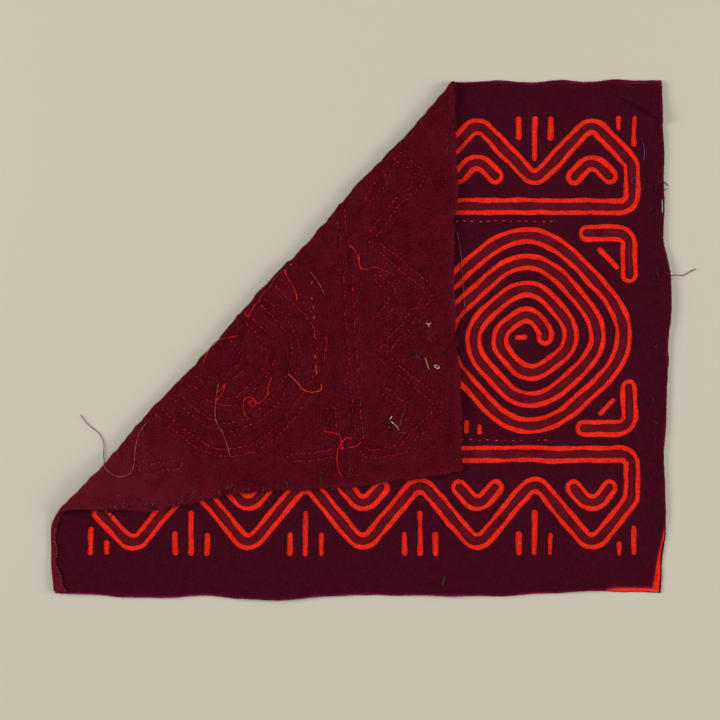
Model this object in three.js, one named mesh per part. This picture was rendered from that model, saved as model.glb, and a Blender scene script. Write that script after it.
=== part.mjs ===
// A folded reverse-appliqué panel of three cloths, in millimetres, +Z up.
// The panel lies right side up with its upper left half folded over along a diagonal.
// Origin: on the surface it lies on, under the middle of the folded panel.
// "Panel coordinates" are the panel opened out flat: x to the right, y away from the viewer.

import * as THREE from 'three';

// Corners of the opened panel, and how far its hand-cut sides stray outward between them
const CORNERS = [[-214, -176.5], [210.7, -176.7], [210, 181], [-206.3, 162.7]];
const SIDES = [
  { name: 'bottom', stray: [
    { at: 0, out: 0 }, { at: 72, out: 3.4 }, { at: 104, out: 1.8 }, { at: 150, out: 4.9 },
    { at: 214, out: 1.1 }, { at: 300, out: 2.0 }, { at: 378, out: -1.3 }, { at: 425, out: 0 }] },
  { name: 'right', stray: [
    { at: 0, out: 0 }, { at: 50, out: 3.6 }, { at: 88, out: 1.9 }, { at: 150, out: 4.3 },
    { at: 215, out: 7.2 }, { at: 250, out: 1.8 }, { at: 300, out: 2.0 }, { at: 358, out: 0.2 }] },
  { name: 'top', stray: [
    { at: 0, out: 0 }, { at: 80, out: 2.9 }, { at: 133, out: 5.7 }, { at: 205, out: 3.8 },
    { at: 257, out: 0.8 }, { at: 320, out: -1.1 }, { at: 372, out: 0 }, { at: 417, out: 0 }] },
  { name: 'left', stray: [
    { at: 0, out: 0 }, { at: 30, out: 0.7 }, { at: 105, out: -1.2 }, { at: 145, out: -1.8 },
    { at: 218, out: 0.9 }, { at: 255, out: -2.2 }, { at: 276, out: -3.9 }, { at: 295, out: 3.1 },
    { at: 316, out: 2.4 }, { at: 340, out: 0 }] },
];
const [BOTTOM, RIGHT, TOP, LEFT] = [0, 1, 2, 3];
const CUT_WAVE = 0.3;
const EDGE_STEP = 13;

// Cloths, from the surface up: inset from the panel's sides, and how far a corner is pulled back
const CLOTH_THICKNESS = 1.0;
const CLOTH_GAP = 0.3;
const CLOTHS = [
  { name: 'base_cloth', colour: 0x571020, inset: [0.3, 0.3, 3.0, 0.3], cornerPull: [0, 0] },
  { name: 'middle_cloth', colour: 0xe03018, inset: [0.8, 0.9, 3.6, 1.0], cornerPull: [0, 0] },
  { name: 'top_cloth', colour: 0x3c0c1c, inset: [0, 0, 0, 0], cornerPull: [2.9, 5.4] },
];
const PULL_REACH = [62, 78];

// Diagonal fold: direction of the fold line, its offset, and the roll that the three cloths turn in
const FOLD_ANGLE = THREE.MathUtils.degToRad(47.44);
const ROLL_RADIUS = 3.8;
const FOLD_EDGE_OFFSET = -73.96;
const FOLD_BOW = { amount: 0.7, wave: 17 };
const ROLL_LENGTH = Math.PI * 1.9;
const ROLL_STEPS = 6;
const FLAP_ROWS = 11;
const FLAP_COLUMNS = 10;

// Swells of the folded-over half: place along the fold, distance from it, height and reach
const SWELLS = [
  { along: -196, off: 0, rise: 3.0, reach: 34 },
  { along: 206, off: 6, rise: 1.4, reach: 30 },
  { along: -60, off: 70, rise: 0.9, reach: 42 },
  { along: 90, off: 60, rise: 1.1, reach: 38 },
];

// Hem of the base cloth, turned over the lower left side onto the front
const HEM = { startAt: 297, radius: 2.45, clearance: 0.55, rollSteps: 5, columns: 4 };
const HEM_NOTCH = 0.8;
const HEM_LAP = [
  { at: 297, out: 3.6 }, { at: 315, out: 4.4 }, { at: 330, out: 6.4 }, { at: 340, out: 10.5 }];

// Appliqué lines: half widths of a channel in the top cloth, a slot in the red one, and a slit
const CHANNEL_HALF = 6;
const SLOT_HALF = 2.8;
const SLIT_HALF = 2;
const BEND_RADIUS = 8;
const ARC_STEP = THREE.MathUtils.degToRad(26);
const CAP_STEPS = 4;

// Friezes along the far and near sides: a straight band, and a zigzag with its points outward
const ZIGZAG_PITCH = 80;
const FRIEZES = [
  { out: 1, band: 93.5, inner: 111, tip: 153, slitEnd: 157, tips: [82, 162], slits: [122],
    start: [44, 113] },
  { out: -1, band: -79.5, inner: -97, tip: -144.5, slitEnd: -150.5, tips: [-158, -78, 2, 82, 162],
    slits: [-118, -38, 42, 122], start: [-182, -121] },
];
const FRIEZE_RIGHT = 190;
const BAND_LEFT = 44;
const NESTED_SPACING = 17.4;
const NESTED_ARM = 12.5;
const SLIT_SPREAD = 11;
const END_SLITS = [{ x: 181, length: 11 }, { x: 191.5, length: 22 }];
const LEFT_SLITS = [{ x: -177, length: 11 }, { x: -188, length: 20 }];

// Central figure: one soft diamond spiral, with bent channels and slits in the field's corners
const SPIRAL = { x: 118, y: 2, pitch: 17.4, inner: 10.45, outer: 71.3, startTurn: 0, diamond: 0.06,
  step: 6 };
const CORNER_BENDS = [
  { x: 188, y: 75, armX: 158, armY: 46 },
  { x: 188, y: -61, armX: 156, armY: -33 },
];
const FIELD_SLITS = [
  { x: 112.5, y: 2, length: 9, turn: 0 },
  { x: 173.5, y: 57.5, length: 20, turn: -45 },
  { x: 172.5, y: -46.5, length: 16, turn: 45 },
  { x: 75, y: -60.5, length: 10, turn: 90 },
  { x: 84, y: -62, length: 8, turn: 90 },
];

const foldAlong = [Math.cos(FOLD_ANGLE), Math.sin(FOLD_ANGLE)];
const foldAcross = [Math.sin(FOLD_ANGLE), -Math.cos(FOLD_ANGLE)];

function smooth(t) {
  const c = Math.min(1, Math.max(0, t));
  return c * c * (3 - 2 * c);
}

// Value of a short table at a distance, eased between its rows
function tableAt(rows, at) {
  const next = rows.findIndex((row) => row.at >= at);
  if (next <= 0) return next === 0 ? rows[0].out : rows[rows.length - 1].out;
  const [low, high] = [rows[next - 1], rows[next]];
  return low.out + (high.out - low.out) * smooth((at - low.at) / (high.at - low.at));
}

// Side of the opened panel: its length, direction and outward normal
const sides = SIDES.map((side, index) => {
  const from = CORNERS[index];
  const to = CORNERS[(index + 1) % CORNERS.length];
  const length = Math.hypot(to[0] - from[0], to[1] - from[1]);
  const along = [(to[0] - from[0]) / length, (to[1] - from[1]) / length];
  return { ...side, index, from, length, along, outward: [along[1], -along[0]] };
});

// How far inside the panel's side a cloth ends there
function insetAt(cloth, side, at) {
  let inset = cloth.inset[side.index];
  if (side.index === BOTTOM) {
    inset += cloth.cornerPull[0] * smooth(1 - (side.length - at) / PULL_REACH[0]);
  }
  if (side.index === RIGHT) inset += cloth.cornerPull[1] * smooth(1 - at / PULL_REACH[1]);
  if (side.index === LEFT && at >= HEM.startAt) {
    inset = HEM.radius + (cloth.hemmed ? 0 : HEM.clearance);
  }
  return inset;
}

function sidePoint(cloth, side, at) {
  const wave = CUT_WAVE * Math.sin(at / 6.1 + side.index) * smooth(at / 30);
  const out = tableAt(side.stray, at) + wave - insetAt(cloth, side, at);
  return [0, 1].map((k) => side.from[k] + side.along[k] * at + side.outward[k] * out);
}

function cornerPoint(cloth, index) {
  const before = sides[(index + 3) % 4];
  const after = sides[index];
  const [pullBefore, pullAfter] = [insetAt(cloth, before, before.length), insetAt(cloth, after, 0)];
  return [0, 1].map((k) => CORNERS[index][k]
    - before.outward[k] * pullBefore - after.outward[k] * pullAfter);
}

// Points of a side from one distance to another, ends left out
function sideRun(cloth, side, from, to) {
  const count = Math.max(1, Math.round((to - from) / EDGE_STEP));
  const run = [];
  for (let i = 1; i < count; i += 1) run.push(sidePoint(cloth, side, from + ((to - from) * i) / count));
  return run;
}

function alongFold(point) {
  return point[0] * foldAlong[0] + point[1] * foldAlong[1];
}

function axisOffset(along) {
  return FOLD_EDGE_OFFSET + ROLL_RADIUS + FOLD_BOW.amount * Math.sin(along / FOLD_BOW.wave);
}

// Signed distance from the fold's axis: positive on the half that lies flat
function acrossFold(point) {
  return point[0] * foldAcross[0] + point[1] * foldAcross[1] - axisOffset(alongFold(point));
}

function fromFold(along, across) {
  const offset = across + axisOffset(along);
  return [0, 1].map((k) => foldAlong[k] * along + foldAcross[k] * offset);
}

function swellAt(along, off) {
  return SWELLS.reduce((sum, s) => {
    const far = ((along - s.along) ** 2 + (off - s.off) ** 2) / (s.reach * s.reach);
    return sum + s.rise * Math.exp(-far);
  }, 0);
}

// Where a point of the panel lies once it is folded, at a height above the panel's underside
function place(point, height) {
  const across = acrossFold(point);
  if (across >= 0) return [point[0], point[1], height];
  const along = alongFold(point);
  const off = Math.max(0, -across - ROLL_LENGTH);
  const turn = Math.min(1, -across / ROLL_LENGTH) * Math.PI;
  const radius = ROLL_RADIUS - height;
  const lift = swellAt(along, off) * (1 - Math.cos(turn)) / 2;
  const [x, y] = fromFold(along, off - radius * Math.sin(turn));
  return [x, y, ROLL_RADIUS - radius * Math.cos(turn) + lift];
}

// Distance along a side at which it crosses a line parallel to the fold
function crossing(cloth, side, level, rising) {
  let [low, high] = rising ? [0, HEM.startAt] : [0, side.length];
  for (let i = 0; i < 40; i += 1) {
    const middle = (low + high) / 2;
    const past = acrossFold(sidePoint(cloth, side, middle)) > level;
    if (past === rising) high = middle;
    else low = middle;
  }
  return (low + high) / 2;
}

// Flat mesh in panel coordinates whose vertices are shared, with a place for each
class Sheet {
  constructor() {
    this.vertices = [];
    this.keys = new Map();
    this.triangles = [];
  }

  vertex(point, at = (height) => place(point, height)) {
    const key = point.map((value) => value.toFixed(4)).join();
    if (!this.keys.has(key)) {
      this.keys.set(key, this.vertices.length);
      this.vertices.push({ point, at });
    }
    return this.keys.get(key);
  }

  // Triangles of one winding, turned over together where they run clockwise
  faces(faces) {
    const turn = ([a, b, c]) => {
      const [p, q, r] = [a, b, c].map((index) => this.vertices[index].point);
      return (q[0] - p[0]) * (r[1] - p[1]) - (q[1] - p[1]) * (r[0] - p[0]);
    };
    const whole = faces.filter(([a, b, c]) => a !== b && b !== c && c !== a);
    const clockwise = whole.reduce((sum, face) => sum + turn(face), 0) < 0;
    this.triangles.push(...whole.map(([a, b, c]) => (clockwise ? [a, c, b] : [a, b, c])));
  }

  // Rows of the same number of vertices, joined by pairs of triangles
  rows(rows) {
    const faces = [];
    for (let i = 0; i + 1 < rows.length; i += 1) {
      for (let j = 0; j + 1 < rows[i].length; j += 1) {
        faces.push([rows[i][j], rows[i][j + 1], rows[i + 1][j]]);
        faces.push([rows[i][j + 1], rows[i + 1][j + 1], rows[i + 1][j]]);
      }
    }
    this.faces(faces);
  }

  // Closed solid between two heights above the panel's underside
  solid(low, high) {
    const count = this.vertices.length;
    const positions = [low, high].flatMap((h) => this.vertices.flatMap((vertex) => vertex.at(h)));
    const edges = new Map();
    for (const [a, b, c] of this.triangles) {
      for (const [from, to] of [[a, b], [b, c], [c, a]]) edges.set(`${from},${to}`, [from, to]);
    }
    const faces = this.triangles.flatMap(([a, b, c]) => [[a, c, b], [a + count, b + count, c + count]]);
    for (const [from, to] of edges.values()) {
      if (!edges.has(`${to},${from}`)) {
        faces.push([from, to, to + count], [from, to + count, from + count]);
      }
    }
    const geometry = new THREE.BufferGeometry();
    geometry.setAttribute('position', new THREE.Float32BufferAttribute(positions, 3));
    geometry.setIndex(faces.flat());
    return geometry;
  }
}

// Centre line with a normal at each point: straight runs joined by arcs
function bentLine(corners, radius = BEND_RADIUS) {
  const line = [];
  const add = (x, y, direction) => line.push({ x, y, nx: -Math.sin(direction), ny: Math.cos(direction) });
  for (let i = 0; i < corners.length; i += 1) {
    const [x, y] = corners[i];
    const before = i > 0 ? Math.atan2(y - corners[i - 1][1], x - corners[i - 1][0]) : null;
    const after = i + 1 < corners.length
      ? Math.atan2(corners[i + 1][1] - y, corners[i + 1][0] - x) : null;
    if (before === null || after === null) {
      add(x, y, before ?? after);
      continue;
    }
    const bend = Math.atan2(Math.sin(after - before), Math.cos(after - before));
    const side = Math.sign(bend);
    const reach = radius * Math.tan(Math.abs(bend) / 2);
    const startX = x - reach * Math.cos(before) - side * radius * Math.sin(before);
    const startY = y - reach * Math.sin(before) + side * radius * Math.cos(before);
    const steps = Math.ceil(Math.abs(bend) / ARC_STEP);
    for (let j = 0; j <= steps; j += 1) {
      const direction = before + (bend * j) / steps;
      add(startX + side * radius * Math.sin(direction), startY - side * radius * Math.cos(direction),
        direction);
    }
  }
  return line;
}

// Soft diamond spiral: radius grows with the turn, larger at the four tips
function spiralLine({ x, y, pitch, inner, outer, startTurn, diamond, step }) {
  const at = (turn) => {
    const radius = (inner + (turn * pitch) / (2 * Math.PI)) * (1 + diamond * Math.cos(4 * turn));
    return [x + radius * Math.cos(turn + startTurn), y + radius * Math.sin(turn + startTurn)];
  };
  const line = [];
  const last = ((outer - inner) * 2 * Math.PI) / pitch;
  const nudge = 0.001;
  for (let turn = 0; turn < last; turn += step / (inner + (turn * pitch) / (2 * Math.PI))) {
    const [px, py] = at(turn);
    const [qx, qy] = at(turn + nudge);
    const length = Math.hypot(qx - px, qy - py);
    line.push({ x: px, y: py, nx: -(qy - py) / length, ny: (qx - px) / length });
  }
  return line;
}

// Outline of a line of even width with round ends
function ribbon(line, half) {
  const outline = [];
  const cap = ({ x, y, nx, ny }, sign) => {
    const start = Math.atan2(sign * ny, sign * nx);
    for (let i = 1; i < CAP_STEPS; i += 1) {
      const angle = start - (Math.PI * i) / CAP_STEPS;
      outline.push(new THREE.Vector2(x + half * Math.cos(angle), y + half * Math.sin(angle)));
    }
  };
  for (const p of line) outline.push(new THREE.Vector2(p.x + half * p.nx, p.y + half * p.ny));
  cap(line[line.length - 1], 1);
  for (const p of [...line].reverse()) {
    outline.push(new THREE.Vector2(p.x - half * p.nx, p.y - half * p.ny));
  }
  cap(line[0], -1);
  return outline;
}

function slitLine({ x, y, length, turn }) {
  const angle = THREE.MathUtils.degToRad(turn);
  const reach = length / 2 - SLIT_HALF;
  const [dx, dy] = [Math.cos(angle) * reach, Math.sin(angle) * reach];
  return bentLine([[x - dx, y - dy], [x + dx, y + dy]]);
}

function uprightSlit(x, end, length, out) {
  return slitLine({ x, y: end - (out * length) / 2, length, turn: 90 });
}

// Band and zigzag of a frieze as one line, which turns back at the right-hand end
function friezeLine({ band, inner, tip, tips, start }) {
  const half = ZIGZAG_PITCH / 2;
  const slope = (inner - tip) / half;
  const corners = [[BAND_LEFT, band], [FRIEZE_RIGHT, band]];
  corners.push([FRIEZE_RIGHT, tip + slope * (FRIEZE_RIGHT - tips[tips.length - 1])]);
  for (const x of [...tips].reverse()) {
    corners.push([x, tip]);
    if (x !== tips[0]) corners.push([x - half, inner]);
  }
  return bentLine([...corners, start]);
}

function nestedPoint({ inner, tip, out }, x) {
  const slope = Math.abs(inner - tip) / (ZIGZAG_PITCH / 2);
  const apex = tip - out * NESTED_SPACING * Math.hypot(1, slope);
  const foot = apex - out * slope * NESTED_ARM;
  return bentLine([[x - NESTED_ARM, foot], [x, apex], [x + NESTED_ARM, foot]]);
}

const channels = [
  ...FRIEZES.map(friezeLine),
  ...FRIEZES.flatMap((frieze) => frieze.tips.slice(frieze.out < 0 ? 1 : 0)
    .map((x) => nestedPoint(frieze, x))),
  spiralLine(SPIRAL),
  ...CORNER_BENDS.map(({ x, y, armX, armY }) => bentLine([[armX, y], [x, y], [x, armY]])),
];
const slits = [
  ...FRIEZES.flatMap(({ slits: places, slitEnd, out }) => places.flatMap((x) => [
    uprightSlit(x, slitEnd, 32, out),
    uprightSlit(x - SLIT_SPREAD, slitEnd, 17, out),
    uprightSlit(x + SLIT_SPREAD, slitEnd, 17, out),
  ])),
  ...FRIEZES.flatMap(({ slitEnd, out }) => END_SLITS.map(
    ({ x, length }) => uprightSlit(x, slitEnd, length, out))),
  ...LEFT_SLITS.map(({ x, length }) => uprightSlit(x, FRIEZES[1].slitEnd, length, -1)),
  ...FIELD_SLITS.map(slitLine),
];

// Half that lies flat: the outline as far as the fold, closed by the fold's own vertices
function addFlatHalf(sheet, cloth, ends, foldRow, holes) {
  const [bottom, right, top, left] = sides;
  const outline = [
    ...sideRun(cloth, left, ends.left, HEM.startAt),
    sidePoint(cloth, left, HEM.startAt - HEM_NOTCH),
    ...hemAxis(cloth),
    ...sideRun(cloth, bottom, 0, bottom.length),
    cornerPoint(cloth, RIGHT),
    ...sideRun(cloth, right, 0, right.length),
    cornerPoint(cloth, TOP),
    ...sideRun(cloth, top, 0, ends.top),
    ...foldRow.map((index) => sheet.vertices[index].point),
  ];
  const contour = outline.map(([x, y]) => new THREE.Vector2(x, y));
  const points = [...contour, ...holes.flat()].map((p) => sheet.vertex([p.x, p.y]));
  const faces = THREE.ShapeUtils.triangulateShape(contour, holes);
  sheet.faces(faces.map((face) => face.map((index) => points[index])));
}

// Line that the hem turns about, from the fold's end of it to the corner
function hemAxis(cloth) {
  const left = sides[LEFT];
  const line = [];
  for (let i = 0; i < HEM.columns; i += 1) {
    line.push(sidePoint(cloth, left, HEM.startAt + ((left.length - HEM.startAt) * i) / HEM.columns));
  }
  return [...line, cornerPoint(cloth, BOTTOM)];
}

// Roll and folded-over half: rows parallel to the fold, narrowing to the panel's far corner
function addFoldedHalf(sheet, cloth) {
  const [, , top, left] = sides;
  const apex = cornerPoint(cloth, LEFT);
  const lastLevel = acrossFold(apex);
  const levels = [];
  for (let i = 0; i <= ROLL_STEPS; i += 1) levels.push((-ROLL_LENGTH * i) / ROLL_STEPS);
  for (let i = 1; i < FLAP_ROWS; i += 1) {
    levels.push(-ROLL_LENGTH + ((lastLevel + ROLL_LENGTH) * i) / FLAP_ROWS);
  }
  const rows = levels.map((level) => {
    const start = alongFold(sidePoint(cloth, top, crossing(cloth, top, level, false)));
    const end = alongFold(sidePoint(cloth, left, crossing(cloth, left, level, true)));
    const row = [];
    for (let j = 0; j <= FLAP_COLUMNS; j += 1) {
      row.push(sheet.vertex(fromFold(start + ((end - start) * j) / FLAP_COLUMNS, level)));
    }
    return row;
  });
  rows.push(rows[0].map(() => sheet.vertex(apex)));
  sheet.rows(rows);
  return rows[0];
}

// Hem: turned half a circle about its axis, then laid over the front
function addHem(sheet, cloth) {
  const left = sides[LEFT];
  const axis = hemAxis(cloth);
  const [ox, oy] = left.outward;
  const rows = [axis.map((point) => sheet.vertex(point))];
  for (let i = 1; i <= HEM.rollSteps; i += 1) {
    const turn = (Math.PI * i) / HEM.rollSteps;
    rows.push(axis.map(([x, y]) => sheet.vertex(
      [x + ox * turn * HEM.radius, y + oy * turn * HEM.radius],
      (height) => {
        const radius = HEM.radius - height;
        const out = radius * Math.sin(turn);
        return [x + ox * out, y + oy * out, HEM.radius - radius * Math.cos(turn)];
      })));
  }
  rows.push(axis.map(([x, y], index) => {
    const at = HEM.startAt + ((left.length - HEM.startAt) * index) / HEM.columns;
    const lap = tableAt(HEM_LAP, at) - HEM.radius;
    const unrolled = Math.PI * HEM.radius + lap;
    return sheet.vertex([x + ox * unrolled, y + oy * unrolled],
      (height) => [x - ox * lap, y - oy * lap, 2 * HEM.radius - height]);
  }));
  sheet.rows(rows);
}

function makeCloth(cloth, layer) {
  const holes = [];
  if (layer === 1) holes.push(...channels.map((line) => ribbon(line, SLOT_HALF)));
  if (layer === 2) {
    holes.push(...channels.map((line) => ribbon(line, CHANNEL_HALF)));
    holes.push(...slits.map((line) => ribbon(line, SLIT_HALF)));
  }
  const sheet = new Sheet();
  const foldRow = addFoldedHalf(sheet, cloth);
  const [, , top, left] = sides;
  const ends = { top: crossing(cloth, top, 0, false), left: crossing(cloth, left, 0, true) };
  addFlatHalf(sheet, cloth, ends, foldRow, holes);
  if (cloth.hemmed) addHem(sheet, cloth);
  const low = layer * (CLOTH_THICKNESS + CLOTH_GAP);
  const material = new THREE.MeshStandardMaterial({ color: cloth.colour, roughness: 0.9, metalness: 0 });
  const mesh = new THREE.Mesh(sheet.solid(low, low + CLOTH_THICKNESS), material);
  mesh.name = cloth.name;
  return mesh;
}

const panel = new THREE.Group();
CLOTHS.forEach((cloth, layer) => {
  panel.add(makeCloth({ ...cloth, hemmed: layer === 0 }, layer));
});
const middle = new THREE.Box3().setFromObject(panel).getCenter(new THREE.Vector3());
panel.position.set(-middle.x, -middle.y, 0);

export default panel;
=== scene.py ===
import math
import random

import bmesh
import bpy
import numpy as np
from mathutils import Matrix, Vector, kdtree, noise
from mathutils.bvhtree import BVHTree
from mathutils.geometry import delaunay_2d_cdt


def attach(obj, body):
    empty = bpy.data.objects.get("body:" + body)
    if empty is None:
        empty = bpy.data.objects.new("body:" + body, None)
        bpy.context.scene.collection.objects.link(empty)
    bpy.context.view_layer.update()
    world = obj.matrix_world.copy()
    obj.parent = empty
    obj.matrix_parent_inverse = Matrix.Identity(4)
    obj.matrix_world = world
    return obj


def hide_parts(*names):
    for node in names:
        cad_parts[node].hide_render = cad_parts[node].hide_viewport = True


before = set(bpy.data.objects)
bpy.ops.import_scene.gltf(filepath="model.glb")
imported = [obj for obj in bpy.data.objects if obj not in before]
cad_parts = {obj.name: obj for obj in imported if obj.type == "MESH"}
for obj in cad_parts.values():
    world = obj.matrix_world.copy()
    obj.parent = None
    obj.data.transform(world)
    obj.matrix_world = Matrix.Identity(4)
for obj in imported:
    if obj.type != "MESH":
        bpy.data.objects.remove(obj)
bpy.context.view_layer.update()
random.seed(11)
mm = 0.001  # cloth and thread sizes below are in millimetres


# View, light and floor
view = {"height": 1.1, "across": 0.504, "centre": (-0.00045, -0.0135), "sensor": 36.0}
lights = {
    "left": {"place": (-2.4, 0.3, 1.45), "size": 1.3, "power": 64.0},
    "right": {"place": (2.4, 0.0, 1.45), "size": 1.3, "power": 48.0},
    "above": {"place": (0.3, 0.2, 2.3), "size": 1.8, "power": 17.5},
    "sky": 0.14,
}
floor = {"size": 60.0, "colour": (0.53, 0.49, 0.40), "roughness": 0.95, "gloss": 0.1}


def addObject(name, data):
    made = bpy.data.objects.new(name, data)
    bpy.context.collection.objects.link(made)
    return made


def addCamera():
    data = bpy.data.cameras.new("camera")
    data.sensor_width = view["sensor"]
    data.lens = view["sensor"] * view["height"] / view["across"]
    data.clip_end = 20
    camera = addObject("camera", data)
    camera.location = (*view["centre"], view["height"])
    bpy.context.scene.camera = camera


def addLight(name):
    settings = lights[name]
    data = bpy.data.lights.new(name, "AREA")
    data.size = settings["size"]
    data.energy = settings["power"]
    light = addObject(name, data)
    light.location = settings["place"]
    light.rotation_euler = (-Vector(settings["place"])).to_track_quat("-Z", "Y").to_euler()


def addSky():
    world = bpy.data.worlds.new("sky")
    world.use_nodes = True
    background = world.node_tree.nodes["Background"]
    background.inputs["Color"].default_value = (1, 1, 1, 1)
    background.inputs["Strength"].default_value = lights["sky"]
    bpy.context.scene.world = world


# Shader maths: a wire is a socket, and sums on it add Math nodes
class Wire:
    def __init__(self, shader, socket):
        self.shader = shader
        self.socket = socket

    def math(self, operation, *others):
        inputs = dict(enumerate((self, *others)))
        return self.shader.node("ShaderNodeMath", {"operation": operation}, inputs)

    def __add__(self, other):
        return self.math("ADD", other)

    __radd__ = __add__

    def __mul__(self, other):
        return self.math("MULTIPLY", other)

    __rmul__ = __mul__

    def __sub__(self, other):
        return self.math("SUBTRACT", other)

    def __rsub__(self, other):
        return self * -1 + other

    def clamped(self):
        return self.math("MINIMUM", 1.0).math("MAXIMUM", 0.0)


class Shader:
    def __init__(self, name):
        self.material = bpy.data.materials.new(name)
        self.material.use_nodes = True
        self.tree = self.material.node_tree
        self.tree.nodes.clear()

    def node(self, kind, settings=None, inputs=None, output=0):
        made = self.tree.nodes.new(kind)
        for key, value in (settings or {}).items():
            setattr(made, key, value)
        for key, value in (inputs or {}).items():
            if isinstance(value, Wire):
                self.tree.links.new(value.socket, made.inputs[key])
            else:
                made.inputs[key].default_value = value
        return Wire(self, made.outputs[output] if made.outputs else None)

    def mix(self, factor, low, high):
        settings = {"data_type": "RGBA"}
        return self.node("ShaderNodeMix", settings, {0: factor, 6: low, 7: high}, 2)

    def noise(self, place, scale, detail=2.0):
        return self.node("ShaderNodeTexNoise", None, {"Vector": place, "Scale": scale, "Detail": detail})

    def stretched(self, place, sizes):
        return self.node("ShaderNodeVectorMath", {"operation": "MULTIPLY"}, {0: place, 1: sizes})

    def finish(self, inputs):
        surface = self.node("ShaderNodeBsdfPrincipled", None, inputs)
        self.node("ShaderNodeOutputMaterial", None, {"Surface": surface})
        return self.material


def linear(red, green, blue):
    def channel(value):
        value /= 255
        return value / 12.92 if value <= 0.04045 else ((value + 0.055) / 1.055) ** 2.4
    return (channel(red), channel(green), channel(blue), 1.0)


# Plain-woven cotton: threads along both directions of the cloth, uneven in colour and thickness. The
# broad soft clouds of tone are partly uneven dye and partly painted shade of broad undulations
weave = {"pitch": 0.00045, "slubAcross": 1400.0, "slubAlong": 210.0, "grain": 900.0, "patches": 120.0,
         "worn": 75.0, "dyeCloudsAndPaintedShade": 34.0, "bump": 0.7, "bumpDepth": 0.00022}
toneShares = {"slub": 1.2, "grain": 1.5, "mottle": 0.8, "threads": 0.12, "dyeCloudsAndPaintedShade": 0.6}
reliefShares = {"crown": 0.5, "slub": 0.8, "grain": 0.5, "mottle": 0.8}
wear = {"fibres": 1.5, "worn": 3.0, "least": 0.8}
clothFinish = {"Roughness": 0.9, "Sheen Weight": 0.05, "Sheen Roughness": 0.4, "Specular IOR Level": 0.05}


# Colours of the cloth in its dark and light threads, and where its raw edge has faded. The base cloth
# also takes its lighter edge colour over the flat half: painted light in its deep slots
def clothMaterial(name, dark, light, edge, contrast):
    shader = Shader(name)
    place = shader.node("ShaderNodeUVMap", {"uv_map": "cloth"})
    turn = math.pi / weave["pitch"]
    warp = (shader.node("ShaderNodeSeparateXYZ", None, {0: place}, 0) * turn).math("SINE")
    weft = (shader.node("ShaderNodeSeparateXYZ", None, {0: place}, 1) * turn).math("SINE")
    threads = warp * weft
    crown = (warp.math("ABSOLUTE") + weft.math("ABSOLUTE")) * 0.5
    thin, long = weave["slubAcross"], weave["slubAlong"]
    slubWarp = shader.noise(shader.stretched(place, (thin, long, 1)), 1.0) - 0.5
    slubWeft = shader.noise(shader.stretched(place, (long, thin, 1)), 1.0) - 0.5
    grain = shader.noise(place, weave["grain"], 1.0) - 0.5
    mottle = shader.noise(place, weave["patches"], 3.0) - 0.5
    # Broad clouds of tone: partly uneven dye, partly painted shade of soft undulations
    dyeCloudsAndPaintedShade = shader.noise(place, weave["dyeCloudsAndPaintedShade"]) - 0.5
    unevenness = (slubWarp * toneShares["slub"] + slubWeft * toneShares["slub"]
                  + grain * toneShares["grain"] + mottle * toneShares["mottle"]
                  + threads * toneShares["threads"] + dyeCloudsAndPaintedShade * toneShares["dyeCloudsAndPaintedShade"])
    tone = unevenness * contrast + 0.5
    body = shader.mix(tone.clamped(), linear(*dark), linear(*light))
    fadedAndPaintedLight = shader.node("ShaderNodeAttribute", {"attribute_name": "fadedAndPaintedLight"}, None, 2)
    worn = shader.noise(place, weave["worn"]) - 0.5
    uneven = (slubWarp + slubWeft + grain) * wear["fibres"] + worn * wear["worn"] + wear["least"]
    colour = shader.mix((fadedAndPaintedLight * uneven).math("MINIMUM", 1.0), body, linear(*edge))
    relief = (crown * reliefShares["crown"] + slubWarp * reliefShares["slub"]
              + slubWeft * reliefShares["slub"] + grain * reliefShares["grain"]
              + mottle * reliefShares["mottle"])
    bump = shader.node("ShaderNodeBump", None, {"Strength": weave["bump"],
                                                "Distance": weave["bumpDepth"], "Height": relief})
    return shader.finish({"Base Color": colour, "Normal": bump, "Sheen Tint": linear(*light),
                          **clothFinish})


# Sewing thread, uneven in tone along its length
threadLook = {"tone": 420.0, "contrast": 3.0, "fibres": 5000.0, "bump": 0.5, "bumpDepth": 0.0001}
threadFinish = {"Roughness": 0.8, "Specular IOR Level": 0.15}

# Dark and light tone of each thread
threadColours = {
    "redSewingThread": ((140, 0, 8), (232, 16, 14)),
    "orangeSewingThread": ((196, 40, 20), (236, 92, 44)),
    "maroonSewingThread": ((58, 8, 16), (140, 56, 66)),
    "aubergineSewingThread": ((34, 3, 12), (92, 26, 44)),
    "dullRedSewingThread": ((128, 0, 10), (208, 12, 18)),
    "pinkSewingThread": ((84, 16, 32), (146, 58, 74)),
    "rawAubergineFibre": ((60, 8, 26), (128, 34, 68)),
    "darkRedThread": ((64, 2, 12), (126, 18, 32)),
    "paleMaroonThread": ((98, 28, 38), (158, 74, 84)),
    "violetThread": ((38, 24, 82), (86, 62, 150)),
    "greenThread": ((10, 70, 50), (40, 120, 80)),
    "whiteThread": ((150, 130, 120), (230, 215, 200)),
    "paleBlueThread": ((110, 112, 160), (166, 172, 208)),
    "tanThread": ((132, 120, 62), (194, 180, 116)),
    # Nearly black: partly a real dark thread, partly painted shadow and shade of loose threads
    "darkThreadAndPaintedShade": ((16, 0, 6), (60, 14, 28)),
}


def threadMaterial(name):
    dark, light = threadColours[name]
    shader = Shader(name)
    place = shader.node("ShaderNodeTexCoord", None, None, 3)
    tone = (shader.noise(place, threadLook["tone"], 1.0) - 0.5) * threadLook["contrast"] + 0.5
    fibres = shader.noise(place, threadLook["fibres"])
    bump = shader.node("ShaderNodeBump", None, {"Strength": threadLook["bump"],
                                                "Distance": threadLook["bumpDepth"], "Height": fibres})
    colour = shader.mix(tone.clamped(), linear(*dark), linear(*light))
    return shader.finish({"Base Color": colour, "Normal": bump, **threadFinish})


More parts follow.
